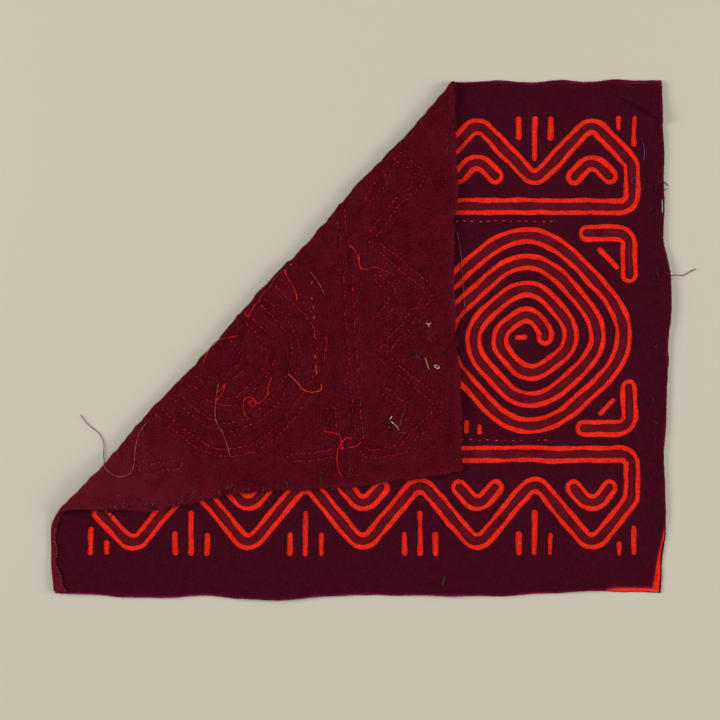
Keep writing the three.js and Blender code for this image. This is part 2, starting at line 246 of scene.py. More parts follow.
def floorMaterial():
    shader = Shader("floor")
    return shader.finish({"Base Color": (*floor["colour"], 1), "Roughness": floor["roughness"],
                          "Specular IOR Level": floor["gloss"]})


def addFloor():
    bm = bmesh.new()
    bmesh.ops.create_grid(bm, x_segments=1, y_segments=1, size=floor["size"] / 2)
    mesh = bpy.data.meshes.new("floor")
    bm.to_mesh(mesh)
    bm.free()
    mesh.materials.append(floorMaterial())
    stage = addObject("floor", mesh)


print("camera, lights and floor")
bpy.context.scene.view_settings.view_transform = "Standard"
addCamera()
for lamp in ("left", "right", "above"):
    addLight(lamp)
addSky()
addFloor()


# The opened panel: corners, and how far its hand-cut sides stray outward (distance, outward).
# The upper values say from where, and over what run, the insets of the far right corner hold.
panel = {
    "corners": [(-214, -176.5), (210.7, -176.7), (210, 181), (-206.3, 162.7)],
    "shift": (-0.45, 0.15),
    "stray": [
        [(0, 0), (72, 3.4), (104, 1.8), (150, 4.9), (214, 1.1), (300, 2.0), (378, -1.3), (425, 0)],
        [(0, 0), (50, 3.6), (88, 1.9), (150, 4.3), (215, 7.2), (250, 1.8), (300, 2.0), (358, 0.2)],
        [(0, 0), (80, 2.9), (133, 5.7), (205, 3.8), (257, 0.8), (320, -1.1), (372, 0), (417, 0)],
        [(0, 0), (30, 0.7), (105, -1.2), (145, -1.8), (218, 0.9), (255, -2.2), (276, -3.9),
         (295, 3.1), (316, 2.4), (340, 0)],
    ],
    "cutWave": 0.3,
    "cutReach": 6.1,
    "nick": 0.22,
    "nickReach": 2.3,
    "underWave": 1.5,
    "underReach": 19,
    "calmEnd": 30,
    "edgeStep": 1.6,
    "cornerGap": 1.0,
    "pullReach": (46, 60, 44),
    "pullRamp": (16, 20),
    "upperTop": (112, 26),
    "upperRight": (225, 40),
}
bottom, right, top, left = 0, 1, 2, 3


def leftOf(direction):
    return Vector((-direction.y, direction.x))


def smooth(t):
    t = min(1, max(0, t))
    return t * t * (3 - 2 * t)


def tableAt(rows, at):
    for (low, lowOut), (high, highOut) in zip(rows, rows[1:]):
        if at <= high:
            return lowOut + (highOut - lowOut) * smooth((at - low) / (high - low))
    return rows[-1][1]


# Smooth noise between about -1 and 1 that changes over the reach
def unevenAt(point, seed, reach):
    return noise.noise(Vector((point.x, point.y, seed)) / reach)


# One side of the opened panel: a place at a distance along it and outside it, or both of a point
class Side:
    def __init__(self, index):
        start = Vector(panel["corners"][index])
        end = Vector(panel["corners"][(index + 1) % 4])
        self.index = index
        self.start = start
        self.length = (end - start).length
        self.along = (end - start).normalized()
        self.outward = -leftOf(self.along)
        self.stray = panel["stray"][index]

    def point(self, at, out):
        return self.start + self.along * at + self.outward * out

    def measured(self, point):
        away = point - self.start
        return away.dot(self.along), away.dot(self.outward)


sides = [Side(index) for index in range(4)]

# Three cloths: middle height, inset from the four sides, how far the near right corner is pulled
# back, the insets at the far right corner, and the spacing of points on the flat half and the flap
thickness = 0.44
baseCloth = {"name": "baseCloth", "node": "base_cloth", "slot": "base_cotton", "height": 0.30,
             "inset": (0.3, 0.3, 0.8, 0.3), "pull": (0, 0, 0), "flatStep": 4.0, "flapStep": 2.2,
             "upper": (-0.9, -0.6)}
middleCloth = {"name": "middleCloth", "node": "middle_cloth", "slot": "middle_cotton", "height": 0.95,
               "inset": (0.8, 0.9, 1.7, 1.0), "pull": (0.1, 0.9, 0), "flatStep": 4.0,
               "flapStep": 6.0, "upper": (0.5, 0.1)}
topCloth = {"name": "topCloth", "node": "top_cloth", "slot": "top_cotton", "height": 1.65,
            "inset": (0, 0, 0, 0), "pull": (3.4, 2.4, 4.4), "flatStep": 3.2, "flapStep": 5.0,
            "upper": (0, 0)}

# Hem of the base cloth, turned over the lower left side onto the front
hem = {"start": 250.0, "radius": 1.3, "clearance": 0.5, "rowStep": 0.4, "rowGap": 2.0,
       "rowMargin": 1.0, "wave": 0.7, "waveReach": 2.7,
       "curl": 0.9, "curlReach": 7.0, "curlFrom": 296.0,
       "lap": [(250, -1.6), (262, 1.6), (280, 3.4), (297, 3.8), (315, 4.4), (330, 6.4), (340, 10.5)]}


def hemAxisOut(at):
    return tableAt(sides[left].stray, at) - hem["radius"]


def hemLap(at):
    wave = hem["wave"] * math.sin(at / hem["waveReach"]) * smooth((at - hem["start"]) / 8)
    return tableAt(hem["lap"], at) - hem["radius"] + wave


def insetAt(cloth, side, at):
    inset = cloth["inset"][side.index]
    reach, ramp = panel["pullReach"], panel["pullRamp"]
    if side.index == top:
        start, run = panel["upperTop"]
        inset = cloth["upper"][0] + (inset - cloth["upper"][0]) * smooth((at - start) / run)
    if side.index == bottom:
        inset += cloth["pull"][0] * smooth((reach[0] - side.length + at) / ramp[0])
    if side.index == right:
        start, run = panel["upperRight"]
        inset += (cloth["upper"][1] - inset) * smooth((at - start) / run)
        inset += cloth["pull"][1] * smooth((reach[1] - at) / ramp[1])
        inset += cloth["pull"][2] * max(0, 1 - at / reach[2])
    if side.index == left and at >= hem["start"]:
        if cloth is baseCloth:
            lap = hemLap(at)
            return hem["radius"] - math.pi * hem["radius"] - lap
        return hem["radius"] + hem["clearance"]
    return inset


def sideOut(cloth, side, at):
    calm = panel["calmEnd"]
    wave = panel["cutWave"] * math.sin(at / panel["cutReach"] + side.index) * smooth(at / calm)
    if cloth is not topCloth and at < hem["start"]:
        ends = smooth(at / calm) * smooth((side.length - at) / calm)
        spot = Vector((at / panel["underReach"], side.index * 7, cloth["height"]))
        wave += panel["underWave"] * ends * noise.noise(spot)
    return tableAt(side.stray, at) + wave - insetAt(cloth, side, at)


def cornerPoint(cloth, index):
    before, after = sides[index - 1], sides[index]
    return (Vector(panel["corners"][index])
            - before.outward * insetAt(cloth, before, before.length)
            - after.outward * insetAt(cloth, after, 0))


def nick(point, seed):
    reach = panel["nickReach"]
    return panel["nick"] * noise.noise(Vector((point.x / reach, point.y / reach, seed)))


# Outline of a cloth, opened out, anticlockwise
def clothOutline(cloth):
    outline = []
    for side in sides:
        outline.append(cornerPoint(cloth, side.index))
        before, after = sides[side.index - 1], sides[(side.index + 1) % 4]
        first = max(0, insetAt(cloth, before, before.length)) + panel["cornerGap"]
        last = side.length - max(0, insetAt(cloth, after, 0)) - panel["cornerGap"]
        stops = [0, side.length]
        if side.index == left:
            stops = [0, hem["start"] - 0.3, hem["start"] + 0.01, side.length]
        for low, high in zip(stops, stops[1:]):
            count = max(1, round((high - low) / panel["edgeStep"]))
            for step in range(count + 1):
                at = low + (high - low) * step / count
                if first < at < last:
                    point = side.point(at, sideOut(cloth, side, at))
                    outline.append(point + side.outward * nick(point, cloth["height"]))
    return outline


# Diagonal fold, as in the model of the solids, but the flap settles once it is past the roll
fold = {
    "angle": math.radians(47.44), "edge": -73.96, "radius": 3.8, "length": math.pi * 1.9,
    "bow": 0.7, "bowWave": 17.0, "settle": 2.7, "settleReach": 26.0, "bump": 0.8, "bumpReach": 5.0,
    "swells": [(-198, 0, 4.6, 30), (206, 6, 1.6, 30), (-60, 70, 0.9, 42), (90, 60, 1.1, 38)],
}
foldAlong = Vector((math.cos(fold["angle"]), math.sin(fold["angle"])))
foldAcross = -leftOf(foldAlong)

# Lifts of the flat half, and soft creases: ends of the ridge, height, and reach to its right and left
lifts = [(214, 38, 1.6, 26), (-60, -180, 1.1, 30), (60, -178, 0.8, 24), (-205, -172, 1.2, 16),
         (205, 178, 1.0, 18)]
creases = [
    ((172, 176), (226, 145.5), 4.0, 1.3, 8.0),
    ((-150, 120), (-60, 150), 1.0, 3.0, 3.0),
    ((-120, 20), (-150, 90), 0.9, 3.0, 3.0),
    ((150, -168), (205, -150), 0.9, 3.0, 3.0),
    ((-40, 60), (10, 150), 0.8, 3.5, 3.5),
    ((80, 172), (140, 160), 0.7, 3.0, 3.0),
]
creaseRows = {"step": 1.3, "offsets": (-3.4, -2.4, -1.7, -1.2, -0.8, -0.4, 0.0, 0.6, 1.3, 2.3, 3.8),
              "margin": 2.2, "gap": 0.7}
puckers = {"small": 0.6, "smallReach": 9.0, "wide": 0.8, "wideReach": 40.0, "flap": 2.0,
           "flapReach": 19.0, "flapFrom": 10, "flapRamp": 30}


def axisOffset(along):
    bump = fold["bump"] * noise.noise(Vector((along / fold["bumpReach"], 0.5, 0.5)))
    return fold["edge"] + fold["radius"] + fold["bow"] * math.sin(along / fold["bowWave"]) + bump


def acrossFold(point):
    return point.dot(foldAcross) - axisOffset(point.dot(foldAlong))


def fromFold(along, across):
    return foldAlong * along + foldAcross * (across + axisOffset(along))


def creaseHeight(point):
    height = 0
    for start, end, rise, rightReach, leftReach in creases:
        start, run = Vector(start), Vector(end) - Vector(start)
        share = min(1, max(0, (point - start).dot(run) / run.length_squared))
        reach = leftReach if run.cross(point - start) > 0 else rightReach
        far = (point - start - run * share).length / reach
        height += rise * math.exp(-far * far) * math.sin(math.pi * min(0.95, max(0.05, share)))
    return height


def creasePoints():
    points = []
    for start, end, *_ in creases:
        start, run = Vector(start), Vector(end) - Vector(start)
        normal = leftOf(run).normalized()
        count = round(run.length / creaseRows["step"])
        points += [start + run * (step / count) + normal * off
                   for step in range(count + 1) for off in creaseRows["offsets"]]
    return points


def puckerHeight(point):
    small = unevenAt(point, 3.1, puckers["smallReach"])
    wide = unevenAt(point, 9.7, puckers["wideReach"])
    height = puckers["small"] * (small + 1) / 2 + puckers["wide"] * (wide + 1) / 2 + creaseHeight(point)
    onFlap = smooth((-acrossFold(point) - puckers["flapFrom"]) / puckers["flapRamp"])
    soft = unevenAt(point, 5.3, puckers["flapReach"])
    return height + puckers["flap"] * onFlap * (soft + 1) / 2


# Where a point of the opened panel lies once it is folded, in metres
def place(point, height):
    across = acrossFold(point)
    pucker = puckerHeight(point)
    if across >= 0:
        lift = sum(rise * math.exp(-((point.x - x) ** 2 + (point.y - y) ** 2) / reach ** 2)
                   for x, y, rise, reach in lifts)
        spot, z = point, height + pucker + lift
    else:
        along = point.dot(foldAlong)
        off = max(0, -across - fold["length"])
        turn = min(1, -across / fold["length"]) * math.pi
        radius = fold["radius"] - height
        swell = sum(rise * math.exp(-((along - a) ** 2 + (off - o) ** 2) / reach ** 2)
                    for a, o, rise, reach in fold["swells"])
        rise = (swell - fold["settle"] * smooth(off / fold["settleReach"])) * (1 - math.cos(turn)) / 2
        spot = fromFold(along, off - radius * math.sin(turn))
        z = fold["radius"] - radius * math.cos(turn) + rise + pucker
    return Vector((spot.x + panel["shift"][0], spot.y + panel["shift"][1], z)) * mm


def placeHem(point, height):
    side = sides[left]
    at, _ = side.measured(point)
    axis = side.point(at, hemAxisOut(at))
    out = (point - axis).dot(side.outward)
    turn = min(math.pi, out / hem["radius"])
    lap = max(0, out - math.pi * hem["radius"])
    radius = hem["radius"] - height
    curl = hem["curl"] * smooth(lap / hem["curlReach"]) * smooth((at - hem["curlFrom"]) / 12)
    return place(axis + side.outward * (radius * math.sin(turn) - lap),
                 hem["radius"] - radius * math.cos(turn) + curl)


def onHem(point):
    at, out = sides[left].measured(point)
    return at >= hem["start"] - 0.2 and out > hemAxisOut(at)


# Appliqué lines
applique = {"channel": 6.0, "slot": 2.8, "slit": 2.0, "bend": 8.0, "step": 1.15, "capSteps": 9,
            "wander": 0.75, "wanderReach": 23.0, "vary": 0.75, "varyReach": 11.0, "notch": 0.3,
            "notchReach": 1.7, "evenFrom": 0.6}
slotSeed, cutSeed = 40.0, 5.0  # one unevenness for the red slots, another for the dark cuts
frieze = {"pitch": 80, "right": 190, "bandLeft": 44, "spacing": 17.4, "arm": 12.5, "spread": 11}
friezes = [
    {"out": 1, "band": 93.5, "inner": 111, "tip": 153, "slitEnd": 157, "tips": [82, 162],
     "slits": [122], "start": (44, 113)},
    {"out": -1, "band": -79.5, "inner": -97, "tip": -144.5, "slitEnd": -150.5,
     "tips": [-158, -78, 2, 82, 162], "slits": [-118, -38, 42, 122], "start": (-182, -121)},
]
backFrieze = {"out": 1, "band": 93.5, "inner": 111, "tip": 153, "slitEnd": 157,
              "tips": [-158, -78, 2], "slits": [-118, -38], "left": -187}
spiral = {"x": 118, "y": 2, "pitch": 17.4, "inner": 10.45, "outer": 71.3, "diamond": 0.06}
backSpiral = {**spiral, "x": -112, "outer": 74}
cornerBends = [(188, 75, 158, 46), (188, -61, 156, -33)]
endSlits = [(181, 11), (191.5, 22)]
leftSlits = [(-177, 11), (-188, 20)]
fieldSlits = [(112.5, 2, 9, 0), (173.5, 57.5, 20, -45), (172.5, -46.5, 16, 45), (75, -60.5, 10, 90),
              (84, -62, 8, 90)]


def rotated(spoke, angle):
    cos, sin = math.cos(angle), math.sin(angle)
    return Vector((spoke.x * cos - spoke.y * sin, spoke.x * sin + spoke.y * cos))


# A line is a list of points with the normal at each: straight runs joined by arcs
def bentLine(corners):
    radius = applique["bend"]
    corners = [Vector(corner) for corner in corners]
    line = []

    def run(start, end):
        direction = (end - start).normalized()
        normal = leftOf(direction)
        count = max(1, math.ceil((end - start).length / applique["step"]))
        line.extend((start.lerp(end, step / count), normal) for step in range(count + 1))

    reached = corners[0]
    for before, corner, after in zip(corners, corners[1:], corners[2:]):
        entry, leaving = (corner - before).normalized(), (after - corner).normalized()
        bend = math.atan2(entry.cross(leaving), entry.dot(leaving))
        hand = 1 if bend > 0 else -1
        reach = radius * math.tan(abs(bend) / 2)
        normal = leftOf(entry) * hand
        centre = corner - entry * reach + normal * radius
        run(reached, corner - entry * reach)
        count = max(2, math.ceil(abs(bend) * radius / applique["step"]))
        for step in range(1, count):
            spoke = rotated(-normal, bend * step / count)
            line.append((centre + spoke * radius, -spoke * hand))
        reached = corner + leaving * reach
    run(reached, corners[-1])
    return line


def spiralLine(settings, mirror=1):
    def at(turn):
        radius = settings["inner"] + turn * settings["pitch"] / (2 * math.pi)
        radius *= 1 + settings["diamond"] * math.cos(4 * turn)
        return Vector((settings["x"] + mirror * radius * math.cos(turn),
                       settings["y"] + radius * math.sin(turn)))
    line, turn = [], 0
    last = (settings["outer"] - settings["inner"]) * 2 * math.pi / settings["pitch"]
    while turn < last:
        direction = (at(turn + 0.01) - at(turn - 0.01)).normalized()
        line.append((at(turn), leftOf(direction)))
        turn += applique["step"] / (settings["inner"] + turn * settings["pitch"] / (2 * math.pi))
    return line


def slitLine(x, y, length, degrees):
    angle = math.radians(degrees)
    reach = Vector((math.cos(angle), math.sin(angle))) * (length / 2 - applique["slit"])
    return bentLine([Vector((x, y)) - reach, Vector((x, y)) + reach])


def uprightSlits(settings):
    out, end = settings["out"], settings["slitEnd"]
    lengths = {-frieze["spread"]: 17, 0: 32, frieze["spread"]: 17}
    return [slitLine(x + off, end - out * length / 2, length, 90)
            for x in settings["slits"] for off, length in lengths.items()]


def friezeLine(settings):
    half = frieze["pitch"] / 2
    slope = (settings["inner"] - settings["tip"]) / half
    far = frieze["right"]
    corners = [(frieze["bandLeft"], settings["band"]), (far, settings["band"]),
               (far, settings["tip"] + slope * (far - settings["tips"][-1]))]
    for x in reversed(settings["tips"]):
        corners.append((x, settings["tip"]))
        if x != settings["tips"][0]:
            corners.append((x - half, settings["inner"]))
    return bentLine([*corners, settings["start"]])


def backFriezeLine(settings):
    half = frieze["pitch"] / 2
    slope = (settings["inner"] - settings["tip"]) / half
    far = settings["left"]
    corners = [(42, settings["band"]), (far, settings["band"]),
               (far, settings["tip"] + slope * (settings["tips"][0] - far))]
    for x in settings["tips"]:
        corners += [(x, settings["tip"]), (x + half, settings["inner"])]
    return bentLine(corners)


def nestedPoint(settings, x):
    slope = abs(settings["inner"] - settings["tip"]) / (frieze["pitch"] / 2)
    apex = settings["tip"] - settings["out"] * frieze["spacing"] * math.hypot(1, slope)
    foot = apex - settings["out"] * slope * frieze["arm"]
    return bentLine([(x - frieze["arm"], foot), (x, apex), (x + frieze["arm"], foot)])


channelLines = [friezeLine(settings) for settings in friezes]
channelLines += [nestedPoint(friezes[0], x) for x in friezes[0]["tips"]]
channelLines += [nestedPoint(friezes[1], x) for x in friezes[1]["tips"][1:]]
channelLines.append(spiralLine(spiral))
channelLines += [bentLine([(armX, y), (x, y), (x, armY)]) for x, y, armX, armY in cornerBends]
slitLines = [line for settings in friezes for line in uprightSlits(settings)]
slitLines += [slitLine(x, settings["slitEnd"] - settings["out"] * length / 2, length, 90)
              for settings in friezes for x, length in endSlits]
slitLines += [slitLine(x, friezes[1]["slitEnd"] + length / 2, length, 90) for x, length in leftSlits]
slitLines += [slitLine(*slit) for slit in fieldSlits]

# Lines that only the back shows, in their stitches
backLines = [backFriezeLine(backFrieze), spiralLine(backSpiral, -1)]
backLines += [nestedPoint(backFrieze, x) for x in backFrieze["tips"]]
backLines += [bentLine([(-154, 75), (-184, 75), (-184, 44)]),
              bentLine([(-154, -62), (-184, -62), (-184, -34)])]
backSlits = uprightSlits(backFrieze) + [slitLine(-177, 146, 11, 90), slitLine(-188, 138, 22, 90)]


# Hand-drawn unevenness of every line
def wander(point):
    reach = applique["wanderReach"]
    return Vector((unevenAt(point, 20, reach), unevenAt(point, 60, reach))) * applique["wander"]


# Outline of a line of nearly even width with round ends, and the rows a little outside it
def ribbon(line, half, seed=0.0, extra=0.0):
    outline = []

    def add(point, spoke):
        spot = point + spoke * half
        shifted = spot + Vector((seed, 0))
        varied = applique["vary"] * unevenAt(shifted, 4, applique["varyReach"])
        notched = applique["notch"] * unevenAt(spot, seed, applique["notchReach"])
        if extra > applique["evenFrom"]:
            notched = 0
        outline.append(point + spoke * (half + extra + varied + notched) + wander(point))

    for point, normal in line:
        add(point, normal)
    for end, hand in ((line[-1], 1), (line[0], -1)):
        point, normal = end
        if hand < 0:
            for body, away in reversed(line):
                add(body, -away)
        for step in range(1, applique["capSteps"]):
            add(point, rotated(normal * hand, -math.pi * step / applique["capSteps"]))
    return outline


def turned(loop):
    area = sum(a.cross(b) for a, b in zip(loop, loop[1:] + loop[:1]))
    return loop if area > 0 else loop[::-1]


def treeOf(points):
    tree = kdtree.KDTree(len(points))
    for index, point in enumerate(points):
        tree.insert((point.x, point.y, 0), index)
    tree.balance()
    return tree


def distanceTo(tree, point):
    return tree.find((point.x, point.y, 0))[2]


# Rows inside the raw edge, so that it can curl and change colour
def borderRows(outline, offsets):
    count = len(outline)
    rows = []
    for index, point in enumerate(outline):
        run = outline[(index + 1) % count] - outline[index - 1]
        inward = leftOf(run).normalized()
        rows += [point + inward * offset for offset in offsets]
    return rows


def inside(cloth, point, margin):
    for side in sides:
        at, out = side.measured(point)
        if out > sideOut(cloth, side, at) - margin:
            return False
    return True


# Rows of points parallel to the fold, close together where the cloth rolls over
spacing = {"rollRows": 14, "rollStep": 3.0, "reach": 420, "flapReach": 230, "margin": 0.45,
           "rimGap": 1.0, "seamGap": 0.9}


def lattice(cloth):
    flat, flap = cloth["flatStep"], cloth["flapStep"]
    reach, rolls = spacing["reach"], spacing["rollRows"]
    rows = [(-fold["length"] * k / rolls, spacing["rollStep"], 0) for k in range(rolls + 1)]
    rows += [(flat * k, flat, k % 2) for k in range(1, int(reach / flat))]
    rows += [(-fold["length"] - flap * k, flap, k % 2)
             for k in range(1, int(spacing["flapReach"] / flap))]
    points = []
    for across, step, odd in rows:
        for k in range(int(-reach / step), int(reach / step)):
            point = fromFold((k + odd / 2) * step, across)
            if inside(cloth, point, step * spacing["margin"]):
                points.append(point)
    return points


def hemRows():
    side, points = sides[left], []
    at = hem["start"] + hem["rowMargin"]
    while at < side.length - hem["rowMargin"]:
        edge = sideOut(baseCloth, side, at) - 0.5
        out = hemAxisOut(at)
        while out < edge:
            points.append(side.point(at, out))
            out += hem["rowStep"]
        at += hem["rowGap"]
    return points


# Triangles of a cloth with its cut-outs; loose points only shape it
def cutCloth(outer, holes, loose):
    loops, points = [], []
    for loop in [outer, *map(turned, holes)]:
        loops.append(list(range(len(points), len(points) + len(loop))))
        points += loop
    edges = [(a, b) for loop in loops for a, b in zip(loop, loop[1:] + loop[:1])]
    found, _, faces, _, _, owners = delaunay_2d_cdt(points + loose, edges, loops, 1, 1e-4)
    kept = [face for face, owner in zip(faces, owners) if list(owner) == [0]]
    used = sorted({index for face in kept for index in face})
    renumbered = {index: number for number, index in enumerate(used)}
    return [found[index] for index in used], [[renumbered[i] for i in face] for face in kept]


def nearestSide(point):
    depths = [(side.start - point).dot(side.outward) for side in sides]
    return depths.index(min(depths))


surfaces = []  # vertices and faces of the sheets, for what is laid on them
rawEdge = {"rows": (0.7, 1.6), "reach": 1.7, "flapReach": 4.5, "curl": 0.5,
           "fading": (1.0, 0.4, 0.75, 0.15), "flapFading": 0.5, "leftEnd": (-120, -190)}


def addSheet(cloth, outer, holes, loose, heightAt, material):
    points, faces = cutCloth(outer, holes, loose)
    hemmed = cloth is baseCloth
    edgeTree = treeOf(outer)
    verts, fadedAndPaintedLight = [], []
    for point in points:
        mapped = placeHem if hemmed and onHem(point) else place
        across = acrossFold(point)
        reach = rawEdge["flapReach"] if across < 0 else rawEdge["reach"]
        edge = 1 - smooth(distanceTo(edgeTree, point) / reach)
        curl = rawEdge["curl"] * edge * (noise.noise(Vector((point.x / 5, point.y / 5, 80))) + 0.2)
        verts.append(mapped(point, heightAt(point) + (-curl if across < 0 else max(-0.1, curl))))
        if across > -fold["length"]:
            edge *= rawEdge["fading"][nearestSide(point)]
        else:
            edge *= rawEdge["flapFading"]
        # The base cloth takes the lighter edge colour over the flat half, painted light in the deep slots
        # where it lies in shade, and it grows lighter towards the fold's left end
        if hemmed:
            near, far = rawEdge["leftEnd"]
            edge = max(edge, smooth(across / 20), smooth((point.dot(foldAlong) - near) / (far - near)))
        fadedAndPaintedLight.append(edge)
    mesh = bpy.data.meshes.new(cloth["name"])
    mesh.from_pydata(verts, [], faces)
    layer = mesh.uv_layers.new(name="cloth")
    for loop in mesh.loops:
        layer.data[loop.index].uv = points[loop.vertex_index] * mm
    mesh.attributes.new("fadedAndPaintedLight", "FLOAT", "POINT").data.foreach_set("value", fadedAndPaintedLight)
    mesh.polygons.foreach_set("use_smooth", [True] * len(mesh.polygons))
    mesh.materials.append(material)
    sheet = addObject(cloth["name"], mesh)
    solidify = sheet.modifiers.new("thickness", "SOLIDIFY")
    solidify.thickness = thickness * mm
    solidify.offset = 0
    cutArea = sum(abs((points[b] - points[a]).cross(points[c] - points[a])) / 2 for a, b, c in faces)
    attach(sheet, "root")
    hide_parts(cloth["node"])
    min(cutArea * mm * mm, 0.1517)
    surfaces.append((verts, faces))
    print(cloth["name"], len(faces), "faces,", round(cutArea / 100), "square centimetres")


def keepClear(points, rows, gap):
    tree = treeOf(rows)
    return [point for point in points if distanceTo(tree, point) > gap]


def clearCreases(cloth, rows):
    within = [point for point in creasePoints() if inside(cloth, point, creaseRows["margin"])]
    return keepClear(within, rows, creaseRows["gap"])


def rimmedCloth(cloth, lines, offsets, profile, material):
    holes = [ribbon(line, half, seed) for line, half, seed in lines]
    outer = turned(clothOutline(cloth))
    rows = [point for line, half, seed in lines for off in offsets
            for point in ribbon(line, half, seed, off)]
    rows += borderRows(outer, rawEdge["rows"])
    edgePoints = [point for hole in holes for point in hole]
    tree = treeOf(edgePoints)
    rows += clearCreases(cloth, rows + edgePoints)
    loose = keepClear(lattice(cloth), rows + edgePoints, spacing["rimGap"]) + rows

    def heightAt(point):
        return cloth["height"] + profile(distanceTo(tree, point))

    addSheet(cloth, outer, holes, loose, heightAt, material)
    return outer, holes


topRim = {"drop": 0.2, "puff": 0.36, "crown": 0.8, "fade": 2.4, "rows": (0.35, 0.85, 1.7)}
middleRim = {"drop": 0.14, "puff": 0.16, "crown": 0.6, "fade": 1.8, "rows": (0.3, 0.75)}


def rimProfile(rim):
    def profile(far):
        rise = (rim["drop"] + rim["puff"]) * smooth(far / rim["crown"]) - rim["drop"]
        return rise - rim["puff"] * smooth((far - rim["crown"]) / rim["fade"])
    return profile


print("top cloth")
aubergine = clothMaterial("aubergineCotton", (36, 1, 12), (74, 9, 28), (122, 16, 56), 0.6)
topLines = [(line, applique["channel"], cutSeed) for line in channelLines]
topLines += [(line, applique["slit"], cutSeed) for line in slitLines]
topOuter, topHoles = rimmedCloth(topCloth, topLines, topRim["rows"], rimProfile(topRim), aubergine)

print("middle cloth")
red = clothMaterial("redCotton", (190, 14, 8), (246, 50, 28), (240, 56, 30), 0.9)
middleLines = [(line, applique["slot"], slotSeed) for line in channelLines]
middleOuter, _ = rimmedCloth(middleCloth, middleLines, middleRim["rows"], rimProfile(middleRim), red)

print("base cloth")
maroon = clothMaterial("maroonCotton", (47, 0, 7), (91, 11, 25), (88, 15, 27), 0.85)
seam = {"depth": 0.5, "reach": 1.2, "rows": (-2.3, -0.9, 0.0, 0.9, 2.3), "puff": 1.0, "crown": 2.6,
        "puffReach": 9.0, "ramp": 12}
wrinkle = {"rise": 1.3, "pitch": 6.0, "run": 24.0, "reach": 22.0, "start": 4}
backEdges = [ribbon(line, applique["slot"], slotSeed) for line in backLines]
backEdges += [ribbon(line, applique["slit"], cutSeed) for line in backSlits]
seamPoints = [point for line in backLines for off in seam["rows"]
              for point in ribbon(line, applique["slot"], slotSeed, off)
              if acrossFold(point) < -fold["length"] and inside(baseCloth, point, 2.0)]
seamTree = treeOf([point for edge in backEdges for point in edge])


# On the flap the seams dip, the cloth puffs up beside them, and wrinkles run in from the fold
def baseHeight(point):
    off = -acrossFold(point)
    if off <= 0:
        return baseCloth["height"]
    height = baseCloth["height"]
    ridge = noise.noise(Vector((point.dot(foldAlong) / wrinkle["pitch"], off / wrinkle["run"], 12.5)))
    height -= (wrinkle["rise"] * max(0, ridge + 0.1) * smooth(off / wrinkle["start"])
               * math.exp(-(off / wrinkle["reach"]) ** 2))
    if off > fold["length"]:
        far = distanceTo(seamTree, point)
        height += seam["depth"] * math.exp(-(far / seam["reach"]) ** 2)
        height -= (seam["puff"] * smooth(far / seam["crown"]) * math.exp(-(far / seam["puffReach"]) ** 2)
                   * smooth((off - fold["length"]) / seam["ramp"]))
    return height


baseOuter = turned(clothOutline(baseCloth))
seamPoints += borderRows(baseOuter, rawEdge["rows"])
seamPoints += clearCreases(baseCloth, seamPoints)
basePoints = keepClear(lattice(baseCloth), seamPoints, spacing["seamGap"]) + seamPoints
basePoints = [point for point in basePoints if not onHem(point)] + hemRows()
addSheet(baseCloth, baseOuter, [], basePoints, baseHeight, maroon)


# Stitches: one small shape repeated into a single mesh
def stitchShape():
    bm = bmesh.new()
    bmesh.ops.create_uvsphere(bm, u_segments=4, v_segments=4, radius=0.5)
    corners = np.array([(vertex.co.z, vertex.co.x, vertex.co.y) for vertex in bm.verts])
    faces = [[vertex.index for vertex in face.verts] for face in bm.faces]
    bm.free()
    return corners, faces


# Place of a point of the cloth, and the directions along, across and up there
feeler = 0.2


def laid(point, direction, height, mapped=place):
    step = direction * feeler
    side = leftOf(direction) * feeler
    along = (mapped(point + step, height) - mapped(point - step, height)).normalized()
    across = mapped(point + side, height) - mapped(point - side, height)
    up = along.cross(across).normalized()
    return mapped(point, height), along, up.cross(along), up


def addPiece(name, mesh, material):
    mesh.materials.append(material)
    mesh.polygons.foreach_set("use_smooth", [True] * len(mesh.polygons))
    piece = addObject(name, mesh)
    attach(piece, "root")
    print(name, len(mesh.polygons), "faces")


# Each stitch is (place, along, across, up, length, width, thickness)
def addStitches(name, stitches, material):
    corners, faces = stitchShape()
    verts, allFaces = [], []
    for origin, along, across, up, length, width, thick in stitches:
        axes = np.array((along * length, across * width, up * thick)) * mm
        verts.append(corners @ axes + np.array(origin))
        base = len(corners) * (len(verts) - 1)
        allFaces += [[base + index for index in face] for face in faces]
    mesh = bpy.data.meshes.new(name)
    mesh.from_pydata(np.concatenate(verts), [], allFaces)
    addPiece(name, mesh, material)


def walk(loop, pitch, jitter, closed=True):
    found, at = [], random.random() * pitch
    ends = loop[1:] + loop[:1] if closed else loop[1:]
    for start, end in zip(loop, ends):
        length = (end - start).length
        while length > 0 and at < length:
            found.append((start.lerp(end, at / length), (end - start) / length))
            at += pitch * random.uniform(1 - jitter, 1 + jitter)
        at -= length
    return found


# Whether the flap lies over a point of the flat half
def underFlap(point, margin):
    across = acrossFold(point)
    opposite = fromFold(point.dot(foldAlong), -across - fold["length"])
    return across < 0 or inside(baseCloth, opposite, margin)


